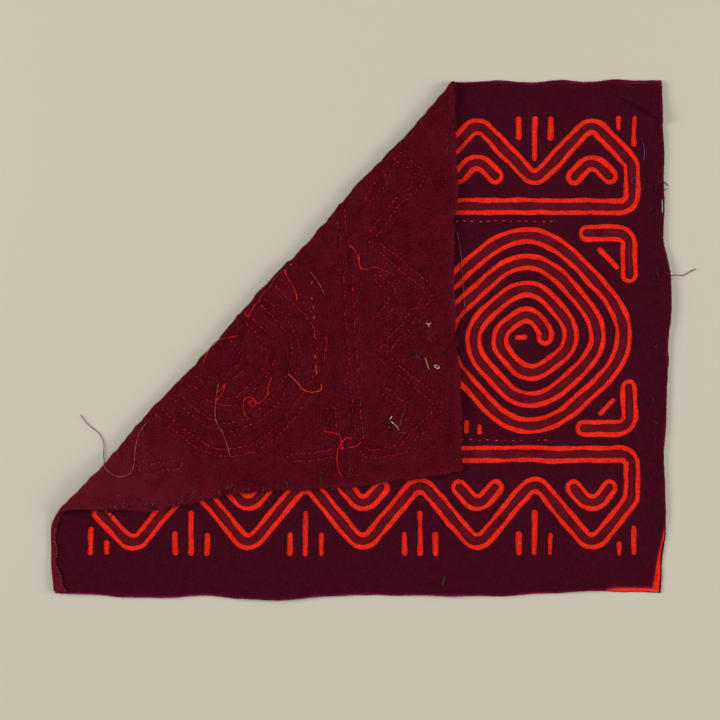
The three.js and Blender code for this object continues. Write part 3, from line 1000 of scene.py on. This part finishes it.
print("stitches")
sewing = {
    "whip": {"pitch": 2.1, "length": 1.3, "width": 0.5, "slant": 0.6, "lift": 0.18},
    "redWhip": {"pitch": 2.0, "length": 1.2, "width": 0.46, "slant": 0.5, "lift": 0.16},
    "running": {"pitch": 5.6, "length": 2.3, "width": 0.6, "rows": (83.3, -69.6), "from": 50,
                "to": 134, "lift": 0.24, "thick": 0.3},
    "back": {"pitch": 3.3, "length": 2.7, "width": 0.75, "missing": 0.1},
    "maroonBack": {"pitch": 2.6, "length": 1.1, "width": 0.36, "missing": 0.35},
    "backFlap": {"lift": -0.38, "thick": 0.3},
    "backFlat": {"lift": 0.08, "thick": 0.16},
    "hem": {"pitch": 1.7, "length": 2.2, "width": 0.5, "rolled": 285, "from": 14.0, "edgeFrom": 4.0,
            "lift": 0.02, "rollLift": 0.06, "small": 0.8, "thick": 0.3, "smallThick": 0.26},
}


# Stitches over a cut edge, that lean across it
def whipStitches(loops, cloth, settings):
    stitches = []
    height = cloth["height"] + settings["lift"]
    for loop in loops:
        for point, direction in walk(turned(loop), settings["pitch"], 0.3):
            if underFlap(point, 6):
                continue
            outward = -leftOf(direction)
            slant = random.gauss(settings["slant"], 0.25)
            lean = (outward * math.cos(slant) + direction * math.sin(slant)).normalized()
            spot = point + outward * random.uniform(0.0, 0.35)
            size = random.uniform(0.75, 1.2)
            stitches.append((*laid(spot, lean, height), settings["length"] * size,
                             settings["width"] * size, settings["width"]))
    return stitches


# Stitches that show through on the base cloth, except where it rolls over the fold
def backStitches(loops, settings):
    stitches = []
    for loop in loops:
        for point, direction in walk(turned(loop), settings["pitch"], 0.25):
            outward = -leftOf(direction)
            spot = point + outward * random.gauss(0, 0.22)
            across = acrossFold(spot)
            onRoll = -fold["length"] - 1.5 < across < 2.0
            if onRoll or not inside(baseCloth, spot, 2.5) or random.random() < settings["missing"]:
                continue
            seen = sewing["backFlap" if across < 0 else "backFlat"]
            height = seen["lift"] + (baseHeight(spot) if across < 0 else 0)
            turn = random.gauss(0, 0.18)
            lean = direction * math.cos(turn) + outward * math.sin(turn)
            size = random.uniform(0.55, 1.25)
            stitches.append((*laid(spot, lean, height), settings["length"] * size,
                             settings["width"] * random.uniform(0.6, 1.1), seen["thick"]))
    return stitches


def runningStitches(settings):
    stitches = []
    for y in settings["rows"]:
        x = settings["from"]
        while x < settings["to"]:
            spot = Vector((x, y + random.gauss(0, 0.25)))
            if not underFlap(spot, 2):
                lean = Vector((1, random.gauss(0, 0.06))).normalized()
                stitches.append((*laid(spot, lean, topCloth["height"] + settings["lift"]),
                                 settings["length"], settings["width"], settings["thick"]))
            x += settings["pitch"] * random.uniform(0.85, 1.15)
    return stitches


# Two rows on the hem: one over its loose edge, one sparser along its roll and then across the lap
def hemStitches(settings):
    side, stitches = sides[left], []

    def sew(at, out, lean, height, mapped, size, thick):
        placed = laid(side.point(at, out), lean.normalized(), height, mapped)
        stitches.append((*placed, settings["length"] * size, settings["width"] * size, thick))

    at = hem["start"] + settings["from"]
    while at < side.length - 1.5:
        out = hemAxisOut(at) + math.pi * hem["radius"] + hemLap(at) - 0.3
        lean = side.outward + side.along * random.gauss(0.3, 0.15)
        sew(at, out, lean, settings["lift"], placeHem, 1, settings["thick"])
        at += settings["pitch"] * random.uniform(0.8, 1.2)
    at = hem["start"] + settings["edgeFrom"]
    small, smallThick = settings["small"], settings["smallThick"]
    while at < side.length - 3:
        if at < settings["rolled"]:
            sew(at, hemAxisOut(at) - 0.6, side.along, settings["rollLift"], place, small, smallThick)
        else:
            out = hemAxisOut(at) + (math.pi * hem["radius"] + hemLap(at) * random.uniform(0, 0.5))
            lean = side.outward + side.along * random.gauss(0.2, 0.1)
            sew(at, out, lean, settings["lift"], placeHem, small, smallThick)
        at += settings["pitch"] * random.uniform(1.2, 4.0)
    return stitches


redThread = threadMaterial("redSewingThread")
orangeThread = threadMaterial("orangeSewingThread")
maroonThread = threadMaterial("maroonSewingThread")
aubergineThread = threadMaterial("aubergineSewingThread")

visibleSlots = [ribbon(line, applique["slot"], slotSeed) for line in channelLines]
addStitches("edgeStitches", whipStitches(topHoles, topCloth, sewing["whip"]),
            aubergineThread)
addStitches("slotStitches", whipStitches(visibleSlots, middleCloth, sewing["redWhip"]),
            redThread)
addStitches("runningStitches", runningStitches(sewing["running"]), orangeThread)
backLoops = [ribbon(line, applique["slot"], slotSeed) for line in backLines + channelLines]
backThread = threadMaterial("dullRedSewingThread")
addStitches("backStitches", backStitches(backLoops, sewing["back"]), backThread)
maroonLoops = [ribbon(line, applique["channel"], cutSeed) for line in backLines + channelLines]
maroonLoops += [ribbon(line, applique["slit"], cutSeed) for line in backSlits + slitLines]
addStitches("maroonBackStitches", backStitches(maroonLoops, sewing["maroonBack"]), maroonThread)
pinkThread = threadMaterial("pinkSewingThread")
addStitches("hemStitches", hemStitches(sewing["hem"]), pinkThread)


# Thin tubes along many paths, joined into one mesh
def addTubes(name, paths, radius, material, knots=()):
    curve = bpy.data.curves.new(name, "CURVE")
    curve.dimensions = "3D"
    curve.bevel_depth = radius * mm
    curve.bevel_resolution = 0
    curve.use_fill_caps = True
    for path in paths:
        spline = curve.splines.new("POLY")
        spline.points.add(len(path) - 1)
        for number, (point, spot) in enumerate(zip(spline.points, path)):
            share = number / (len(path) - 1)
            point.co = (*spot, 1)
            point.radius = 1.0 if len(path) > 8 else 1.05 - 0.6 * share
    holder = bpy.data.objects.new(name, curve)
    mesh = bpy.data.meshes.new_from_object(holder)
    bpy.data.objects.remove(holder)
    bm = bmesh.new()
    bm.from_mesh(mesh)
    for spot, size in knots:
        made = bmesh.ops.create_icosphere(bm, subdivisions=1, radius=size * mm)
        bmesh.ops.scale(bm, vec=(1.0, 0.75, 0.7), verts=made["verts"])
        bmesh.ops.translate(bm, vec=spot, verts=made["verts"])
    bmesh.ops.recalc_face_normals(bm, faces=bm.faces)
    bm.to_mesh(mesh)
    bm.free()
    addPiece(name, mesh, material)


print("frayed edges")
fray = {
    "clumps": 6.0,
    "bare": (-0.5, 0.1),
    "root": 0.5,
    "flatten": 0.3,
    "floor": 0.15,
    "radius": 0.11,
    "top": {"pitch": 0.9, "flat": (0.2, 0.9), "flap": (0.3, 1.3)},
    "middle": {"pitch": 1.5, "flat": (0.3, 0.9), "flap": (0.3, 0.9)},
    "base": {"pitch": 0.9, "flat": (0.2, 0.9), "flap": (0.4, 1.8)},
}


def onHemEdge(point):
    at, _ = sides[left].measured(point)
    return at > hem["start"] and nearestSide(point) == left


# Short fibres that stand out of a raw edge
def frayFibres(cloth, outline, settings):
    fibres, root = [], fray["root"]
    for point, direction in walk(outline, settings["pitch"], 0.6):
        if onHemEdge(point):
            continue
        clump = unevenAt(point, 33, fray["clumps"])
        if clump < random.uniform(*fray["bare"]):
            continue
        outward = -leftOf(direction)
        origin, along, across, _ = laid(point - outward * root, direction, cloth["height"])
        out = -across
        out.z *= fray["flatten"]
        reach = settings["flap"] if acrossFold(point) < 0 else settings["flat"]
        length = random.uniform(*reach) * random.choice((0.6, 1.0, 1.0, 1.5))
        lean, bend = random.gauss(0, 0.6), random.gauss(0, 0.8)
        spot, fibre = origin.copy(), [origin.copy()]
        for step in range(3):
            turn = lean + bend * step / 3
            spot = spot + (out * math.cos(turn) + along * math.sin(turn)) * (length + root) * mm / 3
            spot.z += random.gauss(0, 0.1) * mm
            spot.z = max(spot.z, fray["floor"] * mm)
            fibre.append(spot.copy())
        fibres.append(fibre)
    return fibres


rawAubergine = threadMaterial("rawAubergineFibre")
for name, cloth, outline, settings, material in (
        ("topFray", topCloth, topOuter, fray["top"], rawAubergine),
        ("middleFray", middleCloth, middleOuter, fray["middle"], redThread),
        ("baseFray", baseCloth, baseOuter, fray["base"], maroonThread)):
    fibres = frayFibres(cloth, outline, settings)
    addTubes(name, fibres, fray["radius"], material)


print("loose threads")
threads = {"radius": 0.27, "redRadius": 0.31, "paleRadius": 0.2, "darkRadius": 0.26, "step": 1.2,
           "hover": 0.45, "pixel": 0.7, "centre": (360, 340.5), "shift": (-0.45, 0.155)}

# Paths in photo pixels, seen from straight above
redPaths = [
    [(359.8, 254), (359, 264.6), (360.7, 268), (367, 270), (376, 268), (394.6, 276)],
    [(350, 246), (355, 251), (358, 258), (359.5, 265)],
    [(272.5, 377), (269, 388), (268.5, 394), (263, 400.5), (256.5, 404), (252, 406), (250, 402),
     (254, 400.5), (257, 403.5), (253, 406.5)],
    [(257.5, 403), (255, 399), (250, 397), (246, 398), (244, 404), (244.8, 411), (248, 419)],
    [(226, 383.5), (225, 389), (221, 396), (217.5, 400)], [(217, 393), (221, 390), (226, 384)],
    [(245.5, 313), (248.7, 317), (255, 306.5), (261, 300.5)],
    [(285.5, 272), (288.8, 279.5), (293, 286), (296.2, 293.3), (297.6, 301)],
    [(238, 336), (216, 342), (207, 356), (205, 364)],
    [(326.8, 427), (323.5, 430.2), (329, 431.5), (335, 432.6), (339.5, 434.6), (341, 438.5),
     (341.7, 444), (342.5, 447.5)],
    [(350.3, 438), (347, 437), (343.5, 440), (340.5, 444), (338.2, 449), (337.2, 456), (337.6, 463),
     (339, 470), (342, 476.3)],
    [(339.5, 447.5), (343, 448.5), (348, 447.2), (354, 446.3), (357.8, 445), (360.8, 441.6)],
]
redKnots = [(360, 266.5, 1.1), (361, 269, 1.2), (342.7, 447.7, 1.2), (350.2, 438, 1.0),
            (286, 271.5, 1.1), (291.6, 265.7, 1.0), (248.7, 316.6, 0.9)]
orangePaths = [
    [(289, 374), (298, 382.5), (303.6, 389.6), (312.5, 392), (321.4, 389.6), (321.4, 384)],
    [(312.6, 282), (311.4, 284.5)], [(312.2, 298), (312.4, 300.5)], [(313.4, 306), (313.8, 309)],
    [(314.2, 317), (314.4, 319.5)], [(314.6, 336), (314.8, 338)], [(315.2, 355), (315.6, 358)],
    [(316, 365), (316.6, 369), (317.2, 375)],
]
maroonPaths = [
    [(310.7, 272.7), (318, 282), (325, 295)],
    [(219.6, 384), (217, 399), (216.5, 419), (225, 435), (231, 455.5)],
    [(81, 415), (89, 425), (99, 433), (104, 443), (104, 458), (109, 468), (121.6, 475.5), (134, 470),
     (137, 451), (140, 435), (148, 422)],
    [(457, 233), (461.6, 262), (463, 291), (465.7, 314)],
]
violetPaths = [
    [(640.4, 138), (642.6, 145), (643.8, 150), (643, 161)],
    [(638, 178), (633.5, 178), (631, 181), (632.7, 184), (635.8, 185), (636.5, 187), (633.5, 189.4)],
]
greenPaths = [[(444, 577), (443, 581), (442, 584)], [(453, 293), (454, 296), (453, 299)]]
whitePaths = [
    [(425.6, 323.4), (428.3, 324.4), (430.6, 322.9)], [(428.3, 324.4), (428.4, 327.2)],
    [(434, 366), (435.5, 365), (438, 366.2), (438.8, 367.8), (437, 368.3), (434.8, 367.2), (434, 366)],
    [(391.8, 416.3), (389.2, 419.6)], [(390.8, 421.2), (394.5, 424), (397, 426.5), (398.8, 429.8)],
]
redDots = [(66, 589, 0.7)]
whiteKnots = [(216.5, 419, 0.6)]
paleBluePaths = [[(661.2, 200), (661.4, 206), (661.4, 213)]]
tanPaths = [[(424.8, 358), (426, 361.6), (427.4, 366.2), (428.7, 369.4)]]

# Short pale and dark ends that lie about on the cloth. Many dark ends run just beside a pale end as its
# painted shadow; the others are dark threads
paleEnds = [
    [(417, 328), (420, 327), (423.7, 326.8)], [(433, 334), (429.5, 336.5), (426, 339.5)],
    [(431.5, 337), (428, 339.8)],
    [(407.5, 360), (411, 357), (413, 359), (417, 355.5), (420.5, 360)],
    [(424.5, 357.5), (422.5, 360.5)], [(408.4, 397), (410, 399.7), (412.4, 403), (409.2, 406.5)],
    [(402, 399.8), (405.3, 403), (405.7, 406.8), (403.7, 411.6), (401.7, 416.3), (400, 424),
     (399, 427.4)],
    [(412, 396), (415.5, 395.6), (418.3, 393)], [(399, 431.7), (404.5, 432.5), (411.6, 431)],
    [(423, 416), (421, 419.5), (419, 422.6), (417, 427.4), (417.9, 432)],
    [(419, 422.6), (421, 425.8), (421.8, 429.7), (423, 433.7)], [(354.5, 475.3), (359, 475)],
    [(348.5, 470), (351, 472), (352, 475), (351, 477)],
    [(319, 474), (321.5, 476), (321, 479), (318.5, 479.5)],
    [(276.8, 276.7), (271.3, 286.8), (263, 295.1), (258.4, 301.6), (250.1, 309.9), (243, 314)],
    [(98, 509), (99.5, 512.5), (103, 517), (104, 518.5)],
    [(119.5, 494), (122.5, 494.5), (125.5, 496), (127, 499)],
    [(123.5, 504.5), (126, 505), (128.5, 502.8), (132, 505)],
    [(138.5, 503), (141, 501.8), (144, 504.5), (148, 503.2)],
    [(153.5, 502), (155, 506), (158, 510.5)],
    [(145, 511.5), (147, 508), (149, 506.5), (152, 509), (152.5, 513)],
    [(180, 505), (181.5, 502), (184, 498.5)], [(186.5, 491), (189, 491.5), (192, 492.5)],
    [(191, 495), (195, 492), (197.5, 490), (199, 488.5)], [(245, 495), (247.5, 491), (250, 488.5)],
    [(223.5, 486.5), (227, 487.5), (231, 487), (233, 484.8), (234.5, 483.5)],
    [(263, 492), (263.5, 488), (264.5, 485)], [(656, 272), (657, 276), (659, 279.5)],
]
darkEndsAndPaintedShadows = [
    [(413.5, 325), (416, 323.5), (419, 325.5), (422.8, 324)],
    [(415, 327), (418, 324.5), (421, 327)],
    [(424.8, 342), (428.5, 345), (428.8, 348.5), (426.5, 350.5)],
    [(442, 353), (444, 350.8), (445.8, 353), (444, 355.4), (442, 353)],
    [(409, 359), (412, 356), (415, 358.5), (418.5, 354.5), (422, 358), (423.7, 354)],
    [(407.5, 398), (411, 401.5), (413.5, 404), (410.5, 407.5)],
    [(410.8, 395), (414, 397), (418, 394)],
    [(404, 401), (407, 405), (405.5, 411), (402.5, 417), (401.3, 424)],
    [(423.8, 417), (420, 421), (417.5, 426), (417.2, 431)],
    [(420.3, 423.5), (422.5, 429), (424, 433)],
    [(386, 418.7), (385.1, 421), (387, 423), (391, 427.4), (395, 430.5)],
    [(388, 424), (391, 424.5), (394.5, 428.5)], [(287, 271), (289.5, 268.5), (291, 271)],
    [(121, 516.5), (124, 515), (126, 512.5)], [(345, 473), (347.5, 469.5), (351, 469)],
    [(317, 477), (319.5, 480.5), (323, 478)],
    [(107, 524.5), (107.5, 521.5), (109, 519.5), (112, 517.5)],
    [(231, 486), (233, 482.5), (236, 484)], [(647, 211), (650, 212.8), (653, 211.5), (655, 209)],
    [(654, 219), (656, 222), (659, 226.5), (660.5, 229)],
    [(654, 259.5), (657, 261), (659.5, 259.5)], [(652, 274), (652.5, 279)],
    [(656.5, 285.5), (659.5, 284.5)], [(652, 246), (653.5, 250.5)], [(654, 303), (657, 303)],
    [(658.5, 184), (659, 188.5), (657.5, 192)],
]

trees = [BVHTree.FromPolygons(verts, faces) for verts, faces in surfaces]


def surfaceHeight(x, y):
    heights = [0.0]
    for tree in trees:
        hit = tree.ray_cast(Vector((x, y, 0.1)), Vector((0, 0, -1)))[0]
        if hit:
            heights.append(hit.z + thickness * mm / 2)
    return max(heights)


def fromPixel(x, y):
    x = (x - threads["centre"][0]) * threads["pixel"] + threads["shift"][0]
    y = (threads["centre"][1] - y) * threads["pixel"] + threads["shift"][1]
    return Vector((x, y)) * mm


# A thread lies along the surface, and bridges its dips
def laidPath(spots, radius):
    flat = []
    guides = [spots[0], *spots, spots[-1]]
    for a, b, c, d in zip(guides, guides[1:], guides[2:], guides[3:]):
        count = max(2, round((c - b).length / (threads["step"] * mm)))
        for step in range(count):
            t = step / count
            flat.append(0.5 * (2 * b + (c - a) * t + (2 * a - 5 * b + 4 * c - d) * t * t
                               + (3 * b - a - 3 * c + d) * t * t * t))
    flat.append(spots[-1])
    lowest = [surfaceHeight(*spot) + radius * mm for spot in flat]
    z = [height + threads["hover"] * mm for height in lowest]
    for _ in range(4):
        inner = [(a + 2 * b + c) / 4 for a, b, c in zip(z, z[1:], z[2:])]
        z = [max(low, mid) for low, mid in zip(lowest, [z[0], *inner, z[-1]])]
    return [Vector((spot.x, spot.y, height)) for spot, height in zip(flat, z)]


def addThreads(name, paths, material, radius=threads["radius"], knots=()):
    laidPaths = [laidPath([fromPixel(*spot) for spot in path], radius) for path in paths]
    knotSpots = []
    for x, y, size in knots:
        spot = fromPixel(x, y)
        knotSpots.append((Vector((spot.x, spot.y, surfaceHeight(*spot) + size * 0.6 * mm)), size))
    addTubes(name, laidPaths, radius, material, knotSpots)


darkRedPaths = [
    [(662, 272), (670.8, 276), (675, 275), (683, 275.5), (689, 272), (695.7, 269)],
    [(655, 181), (661, 182.4), (665.4, 183), (668, 186)], [(662, 191.6), (665, 190), (668, 188.6)],
]
addThreads("redThreads", redPaths, redThread, threads["redRadius"], redKnots + redDots)
addThreads("darkRedThreads", darkRedPaths, threadMaterial("darkRedThread"))
addThreads("orangeThreads", orangePaths, orangeThread)
addThreads("maroonThreads", maroonPaths, threadMaterial("paleMaroonThread"))
addThreads("violetThreads", violetPaths, threadMaterial("violetThread"))
addThreads("greenThreads", greenPaths, threadMaterial("greenThread"))
addThreads("whiteThreads", whitePaths, threadMaterial("whiteThread"), knots=whiteKnots)
addThreads("paleBlueThread", paleBluePaths, threadMaterial("paleBlueThread"))
addThreads("tanThreads", tanPaths, threadMaterial("tanThread"))
darkThreadAndPaintedShade = threadMaterial("darkThreadAndPaintedShade")
addThreads("paleEnds", paleEnds, maroonThread, threads["paleRadius"])
addThreads("darkEndsAndPaintedShadows", darkEndsAndPaintedShadows, darkThreadAndPaintedShade, threads["darkRadius"])

# Tangles of loose fibres: photo pixel, spread, pale and dark fibres, and their length in millimetres
# Where a tangle holds both, its dark fibres are partly painted shade of the curls and its pale fibres
# partly painted highlights on them
tangles = [
    (116, 508, 2.5, 12, 8, 5.0), (109, 511, 1.5, 6, 6, 6.0), (127, 505, 2.5, 6, 4, 4.0),
    (143, 503, 2.5, 7, 5, 4.0), (155, 505, 2.5, 8, 6, 4.5), (183, 500, 2.5, 3, 2, 4.0),
    (193, 493, 2.5, 5, 3, 4.0), (218, 491, 4.0, 4, 2, 3.5), (232, 486, 2.0, 3, 3, 3.5),
    (247, 492, 2.5, 4, 4, 4.0), (264, 488, 2.0, 3, 3, 4.0), (290, 483, 4.0, 5, 3, 3.5),
    (320, 478, 3.0, 5, 3, 3.5), (350, 472, 3.0, 4, 3, 3.5), (389, 424, 2.5, 6, 6, 3.5),
    (418, 326, 2.0, 3, 5, 3.5), (430, 337, 2.0, 4, 2, 4.0), (415, 357, 2.5, 4, 4, 4.0),
    (447, 150, 2.0, 4, 2, 5.0), (289, 270, 1.5, 2, 6, 2.5), (655, 188, 2.5, 3, 7, 3.5),
    (651, 211, 2.0, 2, 6, 3.0), (657, 223, 1.5, 1, 4, 3.5), (653, 248, 1.0, 0, 4, 2.0),
    (653, 277, 1.5, 2, 6, 3.0), (657, 285, 1.0, 1, 5, 2.0), (655, 303, 1.5, 1, 4, 2.5),
    (655, 345, 1.5, 2, 4, 3.0), (650, 402, 2.0, 2, 4, 3.0), (652, 420, 2.0, 2, 5, 3.0),
    (654, 437, 2.0, 2, 4, 3.0), (620, 150, 2.0, 3, 0, 3.5),
]


tangle = {"spread": 0.6, "bend": 0.38, "wander": 0.25, "steps": 6, "hump": (0.1, 0.9), "base": 0.12,
          "paleRadius": 0.18, "darkRadius": 0.24}


def tangleFibres(shade):
    fibres, steps = [], tangle["steps"]
    for x, y, spread, *counts, length in tangles:
        centre = fromPixel(x, y)
        for _ in range(counts[shade]):
            drift = Vector((random.gauss(0, spread), random.gauss(0, spread)))
            spot = centre + drift * mm * tangle["spread"]
            heading, bend = random.uniform(0, 2 * math.pi), random.gauss(0, tangle["bend"])
            reach = length * random.uniform(0.5, 1.3) * mm / steps
            lift, fibre = random.uniform(*tangle["hump"]), []
            for step in range(steps + 1):
                hump = lift * math.sin(math.pi * step / steps) + tangle["base"]
                fibre.append(Vector((spot.x, spot.y, surfaceHeight(*spot) + hump * mm)))
                spot = spot + Vector((math.cos(heading), math.sin(heading))) * reach
                heading += bend + random.gauss(0, tangle["wander"])
            fibres.append(fibre)
    return fibres


# Pale fibres, partly painted highlights, and dark fibres, partly painted shade of the same tangles
addTubes("paleTanglesAndPaintedHighlights", tangleFibres(0), tangle["paleRadius"], maroonThread)
addTubes("darkTanglesAndPaintedShade", tangleFibres(1), tangle["darkRadius"], darkThreadAndPaintedShade)
